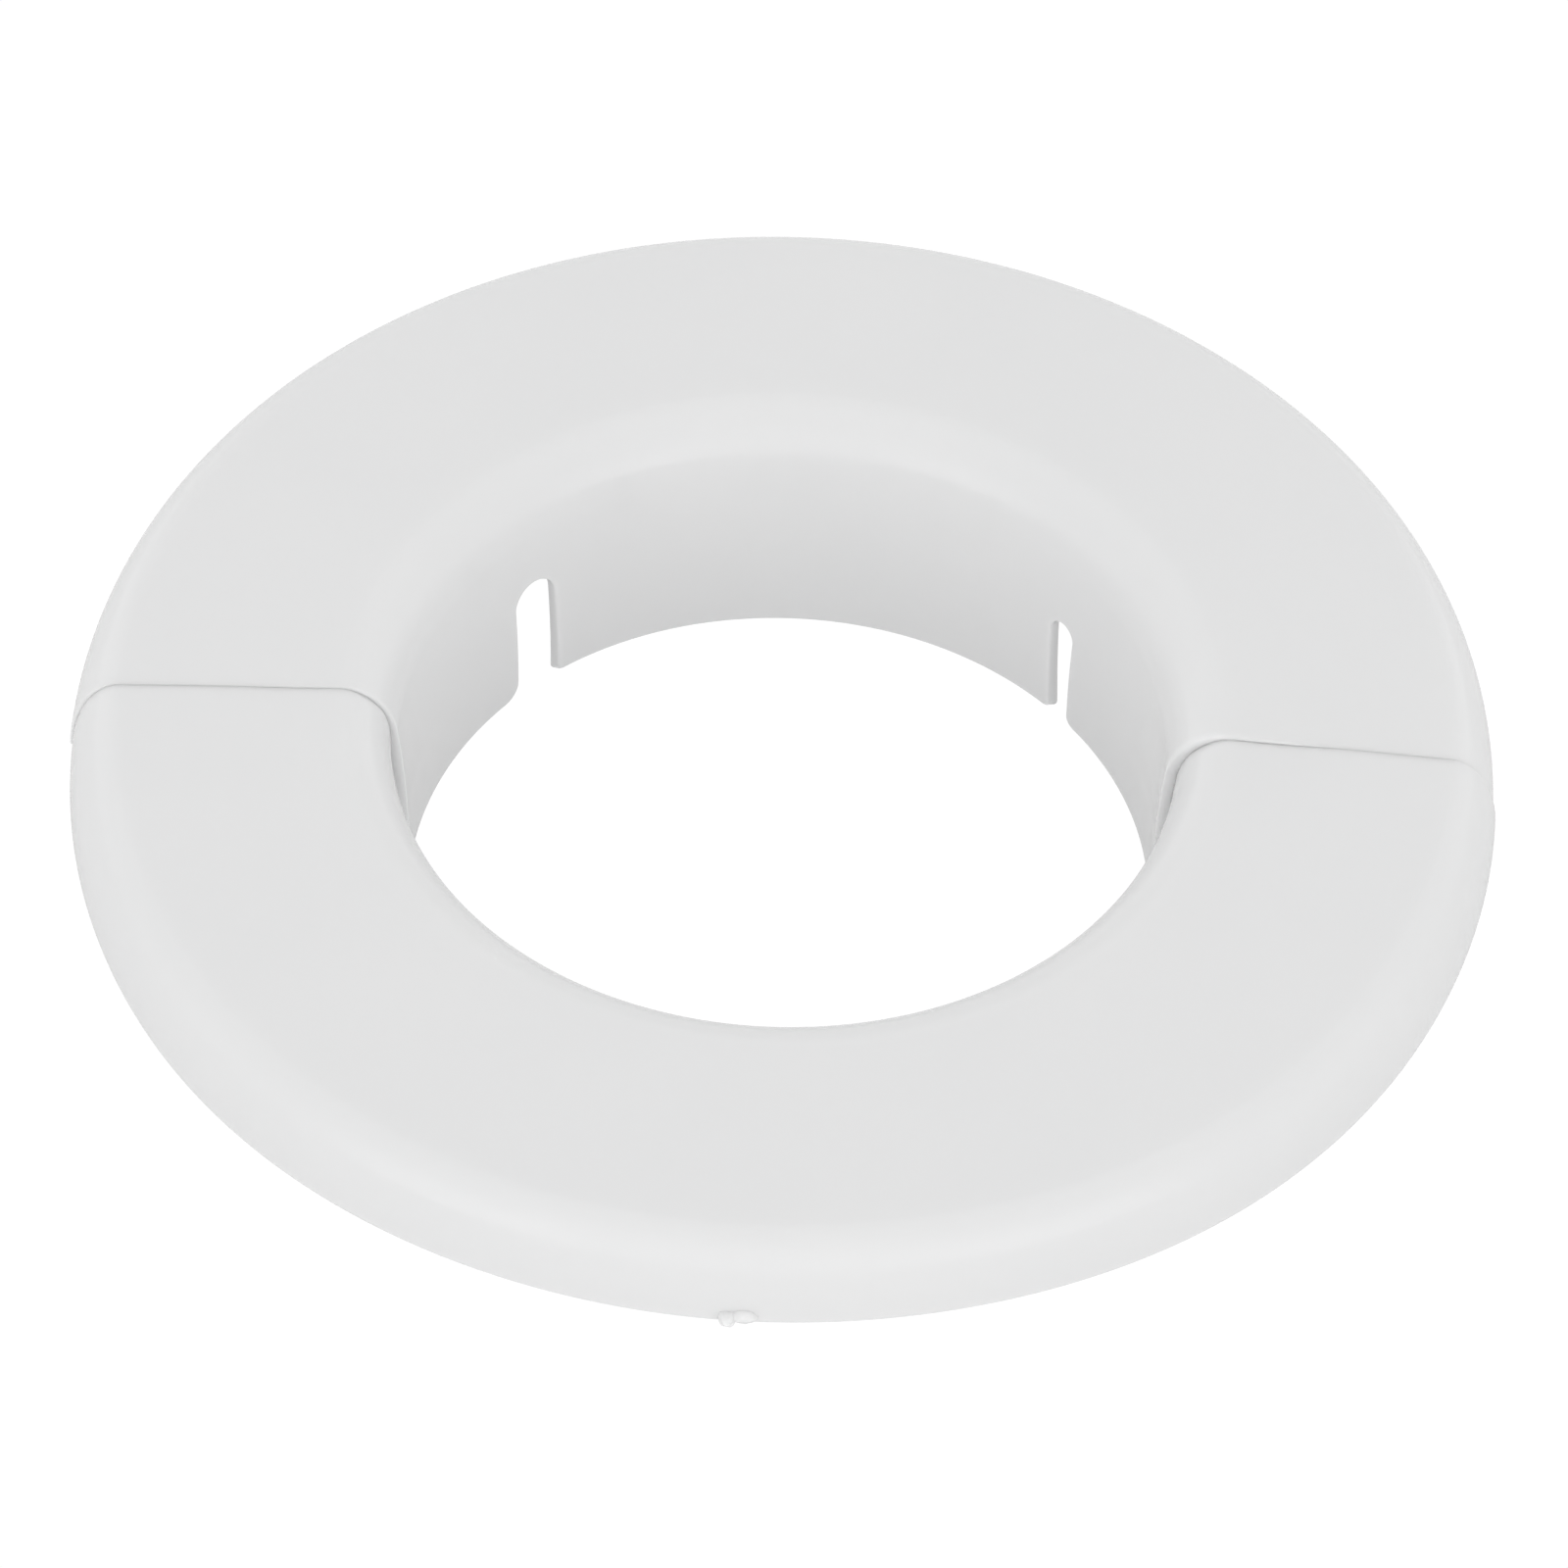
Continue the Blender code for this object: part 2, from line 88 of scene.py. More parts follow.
def rim_centre():
    t = cone_parameter(LIP_RUN, LIP_DROP)
    r1 = LIP_CENTRE[0] + LIP_RUN * math.cos(t)
    z1 = LIP_CENTRE[1] + LIP_DROP * math.sin(t)
    s = cone_parameter(RIM_RUN, RIM_DROP)
    cx = OUTER_RADIUS - RIM_RUN
    fall = (cx + RIM_RUN * math.cos(s) - r1) * math.tan(math.radians(CONE_DEGREES))
    return cx, z1 - fall - RIM_DROP * math.sin(s)


def flare(offset):
    cx, cz = LIP_CENTRE
    r0 = SLEEVE_END_RADIUS + (SLEEVE_END_WALL if offset else 0.0)
    s0 = 0.0 if offset else SLEEVE_END_SLOPE
    a, b = LIP_RUN - (SLEEVE_WALL if offset else 0), LIP_DROP - offset
    low, high = math.radians(120), math.radians(180)
    for _ in range(60):
        t = (low + high) / 2
        z = cz + b * math.sin(t)
        slope = -math.tan(t) * a / b
        if cx + a * math.cos(t) < r0 + z * (s0 + slope) / 2:
            low = t
        else:
            high = t
    return r0, s0, (slope - s0) / (2 * z), z, t, a, b


def wall_radii(z):
    return [f[0] + f[1] * z + f[2] * z * z for f in (flare(0.0), flare(PLATE_WALL))]


def section():
    """Dense tables of the visible and hidden side, matched point by point: s, r, z, R, Z."""
    seen, hidden = flare(0.0), flare(PLATE_WALL)
    n = 1400
    zs = np.linspace(0.0, seen[3], n)
    low = np.clip(1 - zs / 4.0, 0, 1) ** 2
    high = np.clip((zs - 12.0) / (seen[3] - 12.0), 0, 1)
    zh = np.where(zs < 12.0, zs - END_BEVEL * low, 12.0 + (hidden[3] - 12.0) * high)
    parts = [(seen[0] + seen[1] * zs + seen[2] * zs**2, zs, hidden[0] + hidden[2] * np.clip(zh, 0, None) ** 2, zh)]
    u = np.linspace(0.0, 1.0, n)[1:]

    def ellipse(cx, cz, a, b, t):
        return cx + a * np.cos(t), cz + b * np.sin(t)

    tc = [cone_parameter(f[5], f[6]) for f in (seen, hidden)]
    pair = [ellipse(*LIP_CENTRE, f[5], f[6], f[4] + (c - f[4]) * u) for f, c in zip((seen, hidden), tc)]
    parts.append((*pair[0], *pair[1]))
    sizes = ((RIM_RUN, RIM_DROP), (RIM_RUN - PLATE_WALL, RIM_DROP - PLATE_WALL))
    starts = [ellipse(*rim_centre(), a, b, cone_parameter(a, b)) for a, b in sizes]
    ends = [(p[0][-1], p[1][-1]) for p in pair]
    line = []
    for (r1, z1), (r2, z2) in zip(ends, starts):
        line += [r1 + (r2 - r1) * u, z1 + (z2 - z1) * u]
    parts.append(tuple(line))
    pair = [ellipse(*rim_centre(), a, b, cone_parameter(a, b) * (1 - u)) for a, b in sizes]
    parts.append((*pair[0], *pair[1]))
    down = rim_centre()[1] + (WALL_PLANE_Z - rim_centre()[1]) * u
    parts.append((OUTER_RADIUS + 0 * u, down, OUTER_RADIUS - PLATE_WALL + 0 * u, down))
    r, z, rh, zh = [np.concatenate([p[k] for p in parts]) for k in range(4)]
    s = np.concatenate([[0.0], np.cumsum(np.hypot(np.diff(r), np.diff(z)))])
    marks = [s[n - 1 + k * (n - 1)] for k in range(4)] + [s[-1]]
    return s, r, z, rh, zh, marks


S, VR, VZ, HR, HZ, MARKS = section()


def seen_at(s):
    return np.interp(s, S, VR), np.interp(s, S, VZ)


def hidden_at(s):
    return np.interp(s, S, HR), np.interp(s, S, HZ)


def s_of_z(z):
    return np.interp(z, VZ[:1400], S[:1400])


def settle(x, y, z, spring, bulge):
    """Arrays in, arrays out: the ends are sprung, the front rim is a little out of round."""
    male = x > 0
    rim, lip, toe = [np.where(male, a, b) for a, b in zip(*spring)]
    swell = np.where(male, *bulge)
    r, degrees = np.hypot(x, y), np.degrees(np.arctan2(y, np.abs(x)))
    share = np.clip(1.0 - degrees / SPRING_DEGREES, 0, None) ** 2
    inboard = np.clip((LIP_CENTRE[0] + 5 - r) / 7, 0, 1)
    below = np.clip((SPRING_LIP_Z - z) / (SPRING_LIP_Z - SPRING_END_Z), 0, 1)
    inward = share * (rim + (lip - rim) * inboard + (toe - lip) * inboard * below)
    outboard = np.clip((r - 48.0) / 8, 0, 1)
    grow = 1.0 + swell * outboard * np.sin(np.radians(2 * degrees)) ** 3 / r
    return x * grow - np.sign(x) * inward, y * grow


def sink(x, y, z, drop):
    """How far the half's ends lie low beside the lip, which leaves a small step at the seam."""
    r, degrees = np.hypot(x, y), np.degrees(np.arctan2(y, np.abs(x)))
    share = np.clip(1.0 - degrees / 14.0, 0, None) ** 2
    out, up = np.clip((48.0 - r) / 8.0, 0, 1), np.clip((z - 14.0) / 4.0, 0, 1)
    return np.where(x > 0, *drop) * share * out**2 * (3 - 2 * out) * up**2 * (3 - 2 * up)


# ---- the slots' outline ------------------------------------------------------
class Slot:
    """A slot's two sides as distances along the wall, in the slot's own plane."""

    def __init__(self, degrees, top, minus, plus):
        self.turn = math.radians(degrees)
        self.top, self.sides = top, {-1: minus, 1: plus}
        self.middle, self.radius = (minus[0] + plus[0]) / 2, (plus[0] - minus[0]) / 2
        self.shoulder = top - self.radius

    def rows(self, offset):
        """Heights that the mesh needs so that crown and corners come out round."""
        found = [self.shoulder + (self.radius + offset) * math.sin(k * math.pi / 28) for k in range(15)]
        for _, _, c in self.sides.values():
            found += [c - (c - offset) * math.cos(k * math.pi / 16) for k in range(9)]
        return found

    def edge(self, side, z, offset):
        """(place, normal) of the outline grown by offset; the normal points into the slot."""
        if z >= self.shoulder:
            grown = self.radius + offset
            a = math.asin(min(1.0, (z - self.shoulder) / grown))
            return self.middle + side * grown * math.cos(a), (-side * math.cos(a), -math.sin(a))
        high, low, c = self.sides[side]
        place = low + (high - low) * z / self.shoulder
        if z < c:
            a = math.acos(min(1.0, (c - z) / (c - offset)))
            return place + side * (c - (c - offset) * math.sin(a)), (-side * math.sin(a), -math.cos(a))
        return place + side * offset, (-side, 0.0)


def seam_edge(edges, end, s, skin):
    """Radius of the rounded seam edge: on the visible side it can be larger close to the lip."""
    if skin:
        return EDGE
    near_lip, plain = edges[end]
    r, z = [float(v) for v in seen_at(s)]
    plain += 0.06 * min(1.0, max(0.0, (r - 55.0) / 4.0))
    if z < 17.0 and r < 40.0:
        return min(plain, 0.10)
    return plain + (near_lip - plain) * min(1.0, max(0.0, (42.5 - r) / 6.0)) * min(1.0, (z - 17.0) / 2.0 if r < 40.0 else 1.0)


def land(a, z):
    """The wall's hidden side stands out a little beside the tongued end, behind the flare."""
    near = np.clip((math.radians(5.0) - a) / math.radians(2.5), 0, 1)
    return 0.75 * near * np.clip((z - 11.3) / 0.9, 0, 1) * np.clip((19.0 - z) / 2.0, 0, 1)


def half_shell(spring, bulge, edges, drop):
    """The shell of one half as vertices and faces, all its edges rounded."""
    slots = [Slot(*s) for s in SLOTS]
    apex = [s.top + EDGE for s in slots]
    wanted = [EDGE] + [EDGE + 0.75 * k for k in range(1, 21)]
    for slot in slots:
        wanted += slot.rows(EDGE)
    heights = []
    for z in sorted(wanted):
        if z < EDGE - 1e-9 or z > MARKS[0] - 0.3:
            continue
        if not heights or z - heights[-1] > 0.035:
            heights.append(z)
        elif any(abs(z - a) < 1e-9 for a in apex):
            heights[-1] = z
    rows = [float(s_of_z(z)) for z in heights]
    for k, count in enumerate((34, 14, 40)):
        rows += list(np.linspace(MARKS[k], MARKS[k + 1], count + 1)[:-1])
    rows += list(np.linspace(MARKS[3], MARKS[4] - EDGE, 3)) if MARKS[4] - MARKS[3] > EDGE + 0.02 else [MARKS[4] - EDGE]
    rows = sorted(rows)
    rows = [rows[0]] + [b for a, b in zip(rows, rows[1:]) if b - a > 0.02]
    total = len(rows)
    splits = [round(COLUMNS * slot.turn / math.pi) for slot in slots]

    points, faces = [], []

    def slot_angle(slot, place, r):
        return slot.turn + math.asin(place / r)

    def knots(i, skin):
        """Angles at the start, both sides of each slot, and the end, of a row on one skin."""
        s = rows[i]
        r = float((seen_at if skin == 0 else hidden_at)(s)[0])
        z = float(seen_at(s)[1])
        start, end = [math.asin((SEAM_GAP / 2 + seam_edge(edges, k, s, skin)) / r) for k in (0, 1)]
        found = [start]
        for slot, top in zip(slots, apex):
            if s < MARKS[0] and z < top - 1e-9:
                found += [slot_angle(slot, slot.edge(side, z, EDGE)[0], r) for side in (-1, 1)]
            else:
                found += [slot_angle(slot, slot.middle, r)] * 2
        return found + [math.pi - end], z

    columns = [0] + splits + [COLUMNS]
    grid = [[{} for _ in rows] for _ in (0, 1)]  # skin, row: (column, side) -> vertex
    angle = [[{} for _ in rows] for _ in (0, 1)]
    for skin in (0, 1):
        for i in range(total):
            marks, z = knots(i, skin)
            r, h = [float(v) for v in (seen_at if skin == 0 else hidden_at)(rows[i])]
            for f in range(3):
                a0, a1 = marks[2 * f], marks[2 * f + 1]
                j0, j1 = columns[f], columns[f + 1]
                for j in range(j0, j1 + 1):
                    a = a0 + (a1 - a0) * (j - j0) / (j1 - j0)
                    key = (j, 1) if j == j0 else (j, -1) if j == j1 else (j, 0)
                    if j in splits and abs(marks[2 * splits.index(j) + 1] - marks[2 * splits.index(j) + 2]) < 1e-12:
                        key = (j, 0)
                    if key not in grid[skin][i]:
                        grid[skin][i][key] = len(points)
                        angle[skin][i][key] = a
                        out = r + (float(land(a, h)) if skin else 0.0)
                        points.append((out * math.cos(a), out * math.sin(a), h))

    def get(table, i, j, side):
        row = table[i]
        return row[(j, side)] if (j, side) in row else row[(j, 0)]

    for skin in (0, 1):
        for i in range(total - 1):
            for j in range(COLUMNS):
                a, b = get(grid[skin], i, j, 1), get(grid[skin], i, j + 1, -1)
                c, d = get(grid[skin], i + 1, j + 1, -1), get(grid[skin], i + 1, j, 1)
                faces.append((a, b, c, d) if skin == 0 else (a, d, c, b))

    # The edge band: a closed path round the shell, each step with its outward direction.
    path = []  # (row, column, side, kind, direction)

    def corner(i, j, side, first, second, kind):
        for k in range(5):
            t = k * math.pi / 8
            path.append((i, j, side, kind, (first[0] * math.cos(t) + second[0] * math.sin(t), first[1] * math.cos(t) + second[1] * math.sin(t))))

    corner(0, 0, 1, (-1, 0), (0, -1), "start")
    for f in range(3):
        for j in range(columns[f] + 1, columns[f + 1]):
            path.append((0, j, 0, "plain", (0.0, -1.0)))
        if f == 2:
            break
        slot, j = slots[f], columns[f + 1]
        top = min(i for i in range(total) if (j, 0) in grid[0][i])
        for i in range(0, top):
            path.append((i, j, -1, slot, slot.edge(-1, float(seen_at(rows[i])[1]), EDGE)))
        path.append((top, j, 0, slot, (slot.middle, (0.0, -1.0))))
        # The crown's two sides meet at its top, and the path turns back down the other side.
        for i in range(top - 1, -1, -1):
            path.append((i, j, 1, slot, slot.edge(1, float(seen_at(rows[i])[1]), EDGE)))
    corner(0, COLUMNS, -1, (0, -1), (1, 0), "end")
    for i in range(1, total - 1):
        path.append((i, COLUMNS, -1, "end", (1.0, 0.0)))
    corner(total - 1, COLUMNS, -1, (1, 0), (0, 1), "end")
    for j in range(COLUMNS - 1, 0, -1):
        path.append((total - 1, j, 0, "plain", (0.0, 1.0)))
    corner(total - 1, 0, 1, (0, 1), (-1, 0), "start")
    for i in range(total - 2, 0, -1):
        path.append((i, 0, 1, "start", (-1.0, 0.0)))

    def ends(step, d):
        """The two skins' points, d beyond the shell's boundary at this step of the path."""
        i, j, side, kind, direction = step
        found = []
        for skin in (0, 1):
            at = seen_at if skin == 0 else hidden_at
            if isinstance(kind, Slot):
                place, normal = direction
                s = rows[i] + normal[1] * d
                r, h = at(s)
                a = slot_angle(kind, place + normal[0] * d, float(r))
            else:
                s = rows[i] + direction[1] * d
                r, h = at(s)
                a = get(angle[skin], i, j, side)
                if kind in ("start", "end"):
                    edge = seam_edge(edges, int(kind == "end"), rows[i], skin)
                    a = math.asin((SEAM_GAP / 2 + edge * (1.0 - abs(direction[0]) * d / EDGE)) / float(r))
                    a = math.pi - a if kind == "end" else a
            r = float(r) + (float(land(a, float(h))) if skin else 0.0)
            found.append(np.array((r * math.cos(a), r * math.sin(a), float(h))))
        return found

    band = []
    for step in path:
        swell = 1.0
        if step[3] in ("start", "end"):
            swell += abs(step[4][0]) * (seam_edge(edges, int(step[3] == "end"), rows[step[0]], 0) / EDGE - 1.0)
        ring = [get(grid[0], step[0], step[1], step[2])]
        for k in (1, 2, 3):
            t = k * math.pi / 6
            p, q = ends(step, EDGE * math.sin(t))
            depth = swell * EDGE * (1 - math.cos(t)) / np.linalg.norm(q - p)
            ring.append(len(points))
            points.append(tuple(p + (q - p) * depth))
        p, q = ends(step, EDGE)
        ring.append(len(points))
        points.append(tuple((p + q) / 2))
        for k in (3, 2, 1):
            t = k * math.pi / 6
            p, q = ends(step, EDGE * math.sin(t))
            depth = EDGE * (1 - math.cos(t)) / np.linalg.norm(q - p)
            ring.append(len(points))
            points.append(tuple(q + (p - q) * depth))
        ring.append(get(grid[1], step[0], step[1], step[2]))
        band.append(ring)
    for one, two in zip(band, band[1:] + band[:1]):
        for k in range(len(one) - 1):
            corners = [one[k], one[k + 1], two[k + 1], two[k]]
            face = [v for n, v in enumerate(corners) if v not in corners[:n]]
            if len(face) > 2:
                faces.append(tuple(face))

    co = np.array(points)
    low = sink(co[:, 0], co[:, 1], co[:, 2], drop)
    co[:, 0], co[:, 1] = settle(co[:, 0], co[:, 1], co[:, 2], spring, bulge)
    co[:, 2] -= low
    co[:, 2] += END_BEVEL
    return co * MM, faces


# ---- the moulded features on the hidden side ---------------------------------
def prism(outline, origin, along, up, across, length):
    bm = bmesh.new()
    rings = []
    for shift in (0.0, length):
        rings.append([bm.verts.new((Vector(origin) + u * Vector(along) + v * Vector(up) + shift * Vector(across)) * MM) for u, v in outline])
    bm.faces.new(rings[0])
    bm.faces.new(rings[1][::-1])
    for j in range(len(outline)):
        k = (j + 1) % len(outline)
        bm.faces.new((rings[0][j], rings[0][k], rings[1][k], rings[1][j]))
    bmesh.ops.recalc_face_normals(bm, faces=bm.faces)
    return bm


def soften(bm, width, segments=2):
    """Rounds a prism's edges a little."""
    bmesh.ops.bevel(
        bm, geom=[e for e in bm.edges if e.calc_face_angle(0) > math.radians(18)],
        offset=width * MM, segments=segments, profile=0.5, affect="EDGES", clamp_overlap=True,
    )
    bmesh.ops.triangulate(bm, faces=[f for f in bm.faces if len(f.verts) > 4])
    return bm


def features(spring, partner, gate):
    """Every feature joined to a half, as a list of meshes."""
    mid, wide, reach, root = 46.0, 10.0, 9.0, 12.0
    low, high, barb = 16.4, 17.8, 16.05
    end = -reach
    made = []
    made.append(soften(prism(
        [(root, low), (root, 19.75), (1.6, 19.75), (0.8, high + 0.4), (0.2, high), (end + 1.2, high), (end, high - 0.5),
         (end, low + 0.1), (-6.6, barb), (-5.6, barb), (-5.1, low)],
        (mid - wide / 2, 0, 0), (0, 1, 0), (0, 0, 1), (1, 0, 0), wide), 0.14))
    for x in (mid - 4.0, mid + 3.0):
        made.append(soften(prism([(root - 0.5, low + 0.2), (root + 3.0, 19.5), (root - 0.5, 19.5)], (x, 0, 0), (0, 1, 0), (0, 0, 1), (1, 0, 0), 1.0), 0.1))
    inner = wide / 2 + 0.5
    for side in (1, -1):
        x = -mid + side * (inner + 0.65) - 0.65
        made.append(soften(prism([(0.3, 14.6), (6.2, 14.6), (11.0, 16.6), (11.0, 19.7), (0.3, 19.7)], (x, 0, 0), (0, 1, 0), (0, 0, 1), (1, 0, 0), 1.3), 0.14))
    span = inner + 1.1
    made.append(soften(prism([(1.2, 14.75), (4.6, 14.75), (4.6, 15.8), (2.1, 15.8), (1.2, 15.3)], (-mid - span, 0, 0), (0, 1, 0), (0, 0, 1), (1, 0, 0), 2 * span), 0.1))
    x1, x0 = 57.0, 55.8
    made.append(soften(prism(
        [(x0, 9.0), (x0, -5.2), (x0 + 0.3, -6.0), (x1 - 0.5, -6.0), (x1, -4.5), (x1, 0.55), (58.9, 0.55), (58.6, 9.0)],
        (0, 0, 13.2), (1, 0, 0), (0, 1, 0), (0, 0, 1), 2.8), 0.12))
    low, high = 3.0, 11.0

    def settled(r, y, z, which):
        x, _ = settle(np.array([r]), np.array([y]), np.array([z]), which, BACK_BULGE)
        return float(x[0])

    widest = max(-settled(-wall_radii(z)[1], 0.0, z, partner) for z in (low, high))
    arm_in, arm_out = widest + 0.35, widest + 1.65
    middle = [settled(sum(wall_radii(z)) / 2, 2.0, z, spring) for z in (low, high)]
    made.append(soften(prism([(arm_in, low), (arm_out, low), (arm_out, high), (arm_in, high)], (0, -6.0, 0), (1, 0, 0), (0, 0, 1), (0, 1, 0), 10.5), 0.15))
    made.append(prism([(middle[0], low + 0.2), (arm_out - 0.3, low + 0.2), (arm_out - 0.3, high - 0.2), (middle[1], high - 0.2)], (0, 0.6, 0), (1, 0, 0), (0, 0, 1), (0, 1, 0), 3.4))
    for degrees in (33.0, 61.5, 90.0, 118.5, 147.0):
        turn = math.radians(degrees)
        out, sideways = Vector((math.cos(turn), math.sin(turn), 0)), Vector((-math.sin(turn), math.cos(turn), 0))
        made.append(soften(prism(
            [(sum(wall_radii(12.8)) / 2, 12.8), (37.2, 15.4), (58.9, 15.4), (58.0, 17.9), (55.4, 19.4), (38.0, 20.4), (33.7, 18.0)],
            -sideways * 0.5, out, (0, 0, 1), sideways, 1.0), 0.12))
    for centre, radii, seed in gate:
        made.append(stub(centre, radii, seed))
    for bm in made:
        bmesh.ops.translate(bm, vec=(0.0, 0.0, END_BEVEL * MM), verts=bm.verts)
    return made


def stub(centre, radii, seed):
    """A torn-off gate stub: a lump with an uneven, faintly fibrous surface."""
    bm = bmesh.new()
    bmesh.ops.create_icosphere(bm, subdivisions=4, radius=1.0)
    for v in bm.verts:
        p = v.co
        wave = 0.05 * math.sin(5.1 * p.x + seed) * math.cos(4.3 * p.z - seed) + 0.03 * math.sin(11.0 * p.y + 7.0 * p.z + 2 * seed)
        v.co = p * (1.0 + wave - 0.045)
    scale = Matrix.Diagonal((*radii, 1.0))
    bmesh.ops.transform(bm, matrix=Matrix.Translation(Vector(centre)) @ scale, verts=bm.verts)
    bmesh.ops.scale(bm, vec=(MM, MM, MM), verts=bm.verts)
    return bm


def join_features(shell, made):
    """Unions the features into the shell, whose mesh is replaced by the finished one."""
    everything = bpy.data.collections.new("tools")
    bpy.context.scene.collection.children.link(everything)
    helpers = []
    for k, bm in enumerate(made):
        mesh = bpy.data.meshes.new(f"tool_{k}")
        bm.to_mesh(mesh)
        bm.free()
        helper = bpy.data.objects.new(f"tool_{k}", mesh)
        everything.objects.link(helper)
        helpers.append(helper)
        modifier = shell.modifiers.new(f"join_{k}", "BOOLEAN")
        modifier.operation = "UNION"
        modifier.solver = "MANIFOLD"
        modifier.object = helper
    bpy.context.view_layer.update()
    graph = bpy.context.evaluated_depsgraph_get()
    finished = bpy.data.meshes.new_from_object(shell.evaluated_get(graph), depsgraph=graph)
    shell.modifiers.clear()
    old = shell.data
    shell.data = finished
    bpy.data.meshes.remove(old)
    for helper in helpers:
        mesh = helper.data
        bpy.data.objects.remove(helper)
        bpy.data.meshes.remove(mesh)
    bpy.data.collections.remove(everything)


GATE = (((0.95, 59.8, 13.2), (0.85, 1.35, 0.62), 1.0), ((-0.35, 59.8, 13.3), (1.25, 0.85, 0.68), 2.3))


def half(name, turn, spring, partner, bulge, edges, drop):
    co, faces = half_shell(spring, bulge, edges, drop)
    mesh = bpy.data.meshes.new(name)
    mesh.from_pydata([tuple(p) for p in co], [], faces)
    bm = bmesh.new()
    bm.from_mesh(mesh)
    bmesh.ops.recalc_face_normals(bm, faces=bm.faces)
    bm.to_mesh(mesh)
    bm.free()
    obj = bpy.data.objects.new(name, mesh)
    bpy.context.scene.collection.objects.link(obj)
    join_features(obj, features(spring, partner, GATE))
    obj.data.transform(Matrix.Rotation(math.radians(turn), 4, "Z"))
    obj.data.shade_smooth()
    obj.data.set_sharp_from_angle(angle=math.radians(40))
    return obj


# ---- the plastic ---------------------------------------------------------------
def gloss_plastic():
    material = bpy.data.materials.new("gloss_white_plastic")
    material.use_nodes = True
    nodes, links = material.node_tree.nodes, material.node_tree.links
    shader = nodes["Principled BSDF"]
    where = nodes.new("ShaderNodeTexCoord")

    def noise(scale, detail, rough=0.5):
        node = nodes.new("ShaderNodeTexNoise")
        node.inputs["Scale"].default_value = scale
        node.inputs["Detail"].default_value = detail
        node.inputs["Roughness"].default_value = rough
        links.new(where.outputs["Object"], node.inputs["Vector"])
        return node.outputs["Fac"]

    def ramp(value, low, high):
        node = nodes.new("ShaderNodeMapRange")
        node.inputs["From Min"].default_value, node.inputs["From Max"].default_value = 0.3, 0.7
        node.inputs["To Min"].default_value, node.inputs["To Max"].default_value = low, high
        links.new(value, node.inputs["Value"])
        return node.outputs["Result"]

    # Flow marks and slightly uneven pigment, a few parts in a thousand.
    tone = nodes.new("ShaderNodeMix")
    tone.data_type = "RGBA"
    tone.inputs[6].default_value = (0.795, 0.797, 0.800, 1.0)
    tone.inputs[7].default_value = (0.815, 0.815, 0.815, 1.0)
    links.new(noise(60.0, 4.0), tone.inputs[0])
    links.new(tone.outputs[2], shader.inputs["Base Color"])
    # Gloss varies a little over the mould's polish.
    links.new(ramp(noise(220.0, 3.0), 0.07, 0.10), shader.inputs["Roughness"])
    shader.inputs["IOR"].default_value = 1.50
    # Thin white plastic lets some light through, so cut edges are as bright as the walls.
    shader.subsurface_method = "RANDOM_WALK"
    shader.inputs["Subsurface Weight"].default_value = 1.0
    shader.inputs["Subsurface Radius"].default_value = (1.0, 1.0, 1.0)
    shader.inputs["Subsurface Scale"].default_value = 0.0008
    # Orange peel, and the faint lines that polishing left in the mould.
    broad = nodes.new("ShaderNodeBump")
    broad.inputs["Strength"].default_value = 0.05
    broad.inputs["Distance"].default_value = 0.00008
    links.new(noise(380.0, 2.0), broad.inputs["Height"])
    fine = nodes.new("ShaderNodeBump")
    fine.inputs["Strength"].default_value = 0.06
    fine.inputs["Distance"].default_value = 0.00002
    links.new(noise(2600.0, 3.0, 0.6), fine.inputs["Height"])
    links.new(broad.outputs["Normal"], fine.inputs["Normal"])
    links.new(fine.outputs["Normal"], shader.inputs["Normal"])
    return material


PLASTIC = gloss_plastic()
for piece, node, body, turn, spring, partner, bulge, edges, drop in (
    ("back_half_moulding", "back_half", "back", 0.0, BACK_SPRING, FRONT_SPRING, BACK_BULGE, ((0.40, 0.09), (0.22, 0.09)), (0.0, 0.0)),
    ("front_half_moulding", "front_half", "front", 180.0, FRONT_SPRING, BACK_SPRING, FRONT_BULGE, ((0.05, 0.05), (0.05, 0.05)), (0.10, 0.25)),
):
    obj = half(piece, turn, spring, partner, bulge, edges, drop)
    obj.data.materials.clear()
    obj.data.materials.append(PLASTIC)
    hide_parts(node)
    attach(obj, body)
for node in frame["nodes"].values():
    node.data.materials.clear()
    node.data.materials.append(PLASTIC)


# ---- floor, light, camera --------------------------------------------------------
# Brightness of the dome: the elevations between which it falls, and its two levels.
DOME = (0.0, 64.0, 1.225, 0.905)
# Azimuth (0 towards the camera) and half width of each soft panel, softness of its sides, the
# elevations where it fades in, where it fades out, and the brightness it adds.
PANELS = (
    (0.0, 34.0, 16.0, (-6.0, 12.0), (30.0, 60.0), 0.18),
    (-41.0, 17.0, 8.0, (-90.0, -89.0), (20.0, 33.0), 0.30),
    (41.0, 17.0, 8.0, (-90.0, -89.0), (20.0, 33.0), 0.30),
    (180.0, 26.0, 14.0, (-90.0, -89.0), (20.0, 52.0), -0.40),
    (-90.0, 34.0, 14.0, (-90.0, -89.0), (40.0, 70.0), -0.24),
    (90.0, 34.0, 14.0, (-90.0, -89.0), (40.0, 70.0), -0.24),
)
# The floor is one even pale surface: its brightness, and the even light a lit table adds.
FLOOR_ALBEDO, FLOOR_GLOW = 0.70, 0.14



